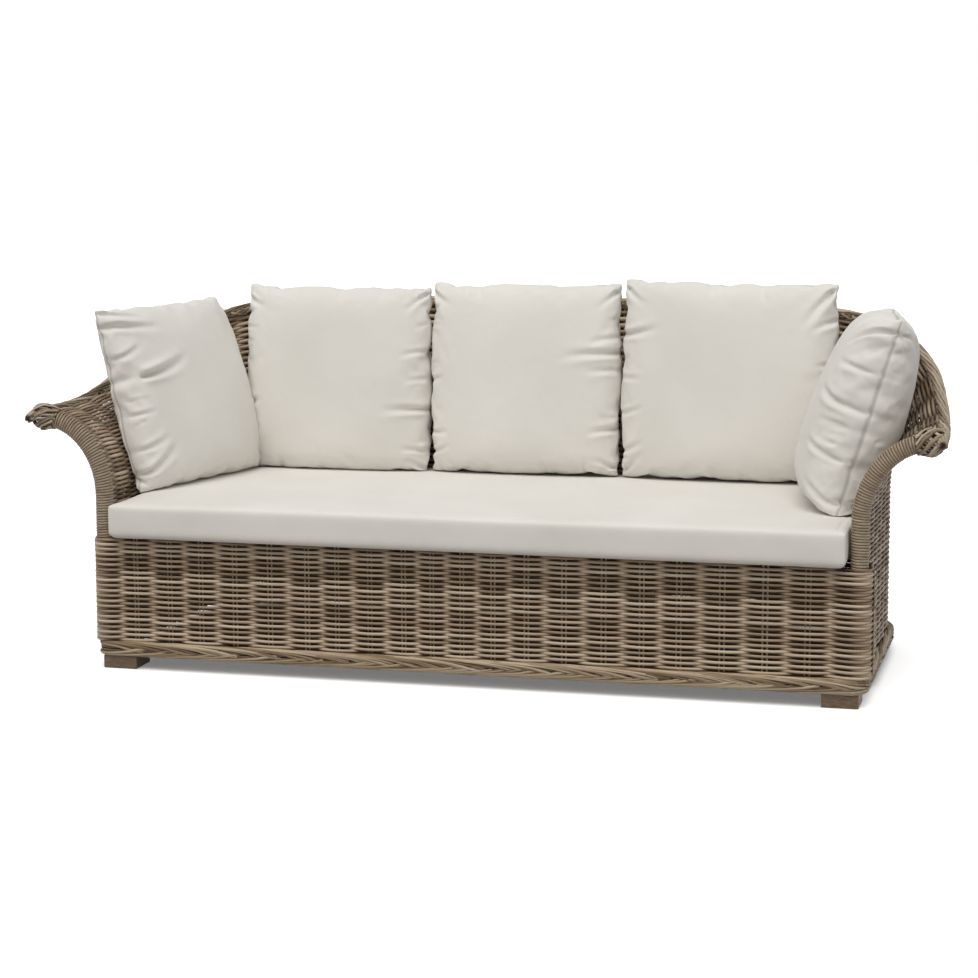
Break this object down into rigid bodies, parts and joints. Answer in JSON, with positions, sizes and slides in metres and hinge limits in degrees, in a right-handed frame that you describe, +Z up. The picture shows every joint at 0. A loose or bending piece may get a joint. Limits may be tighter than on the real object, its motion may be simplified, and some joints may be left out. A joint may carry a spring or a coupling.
{
  "type": "rattan garden sofa",
  "caption": "Long woven rattan garden sofa with a high back, flared scroll-tipped arms, low block feet and loose box seat, back and side cushions.",
  "frame": {"origin": "on the floor under the centre of the sofa's bounding box", "axes": "+X to the right of a person looking at the front and along the sofa's length, -Y out of the front, +Z up"},
  "size_m": [2.241, 0.9118, 0.9335],
  "materials": {
    "weave": "split grey-washed kubu rattan, woven over paired stakes, satin",
    "border": "twisted whole rattan strands, satin",
    "cane": "flat rattan peel wound tight, satin",
    "poles": "natural rattan pole, clear lacquer",
    "feet": "weathered brown hardwood, oiled",
    "cushions": "plain-woven cream outdoor cloth, matte"
  },
  "bodies": {
    "frame": {"back_middle_leg": "poles", "back_upright_1": "poles", "back_upright_2": "poles", "back_upright_3": "poles", "back_upright_4": "poles", "base_cross_rail": "poles", "base_rail_back": "poles", "base_rail_front": "poles", "base_rail_left": "poles", "base_rail_right": "poles", "beam_leg": "poles", "bottom_border_back": "border", "bottom_border_front": "border", "bottom_border_left": "border", "bottom_border_right": "border", "corner_leg_left": "poles", "corner_leg_right": "poles", "foot_back_left": "feet", "foot_back_right": "feet", "foot_front_left": "feet", "foot_front_right": "feet", "front_middle_leg": "poles", "seat_beam": "poles", "seat_rail_back": "poles", "seat_rail_front": "poles", "seat_rail_left": "poles", "seat_rail_right": "poles", "seat_slat_01": "poles", "seat_slat_02": "poles", "seat_slat_03": "poles", "seat_slat_04": "poles", "seat_slat_05": "poles", "seat_slat_06": "poles", "seat_slat_07": "poles", "seat_slat_08": "poles", "seat_slat_09": "poles", "seat_slat_10": "poles", "seat_slat_11": "poles", "top_border_back": "border", "top_border_left": "border", "top_border_right": "border", "top_rail_back": "poles", "top_rail_left": "poles", "top_rail_right": "poles", "wall_arm_left": "weave", "wall_arm_right": "weave", "wall_back": "weave", "wall_front_skirt": "weave", "wing_binding_left": "cane", "wing_binding_right": "cane", "wing_post_left": "poles", "wing_post_right": "poles"},
    "seat_cushion_body": {"seat_cushion": "cushions"},
    "back_cushion_left_body": {"back_cushion_left": "cushions"},
    "back_cushion_middle_body": {"back_cushion_middle": "cushions"},
    "back_cushion_right_body": {"back_cushion_right": "cushions"},
    "side_cushion_left_body": {"side_cushion_left": "cushions"},
    "side_cushion_right_body": {"side_cushion_right": "cushions"}
  },
  "joints": [
    {"name": "seat_cushion_lift", "type": "slide", "parent": "frame", "child": "seat_cushion_body", "axis": [0, 0, 1], "range_m": [0, 0.5]},
    {"name": "back_cushion_left_lift", "type": "slide", "parent": "seat_cushion_body", "child": "back_cushion_left_body", "axis": [0, 0, 1], "range_m": [0, 0.5]},
    {"name": "back_cushion_middle_lift", "type": "slide", "parent": "seat_cushion_body", "child": "back_cushion_middle_body", "axis": [0, 0, 1], "range_m": [0, 0.5]},
    {"name": "back_cushion_right_lift", "type": "slide", "parent": "seat_cushion_body", "child": "back_cushion_right_body", "axis": [0, 0, 1], "range_m": [0, 0.5]},
    {"name": "side_cushion_left_lift", "type": "slide", "parent": "seat_cushion_body", "child": "side_cushion_left_body", "axis": [0, 0, 1], "range_m": [0, 0.5]},
    {"name": "side_cushion_right_lift", "type": "slide", "parent": "seat_cushion_body", "child": "side_cushion_right_body", "axis": [0, 0, 1], "range_m": [0, 0.5]}
  ]
}
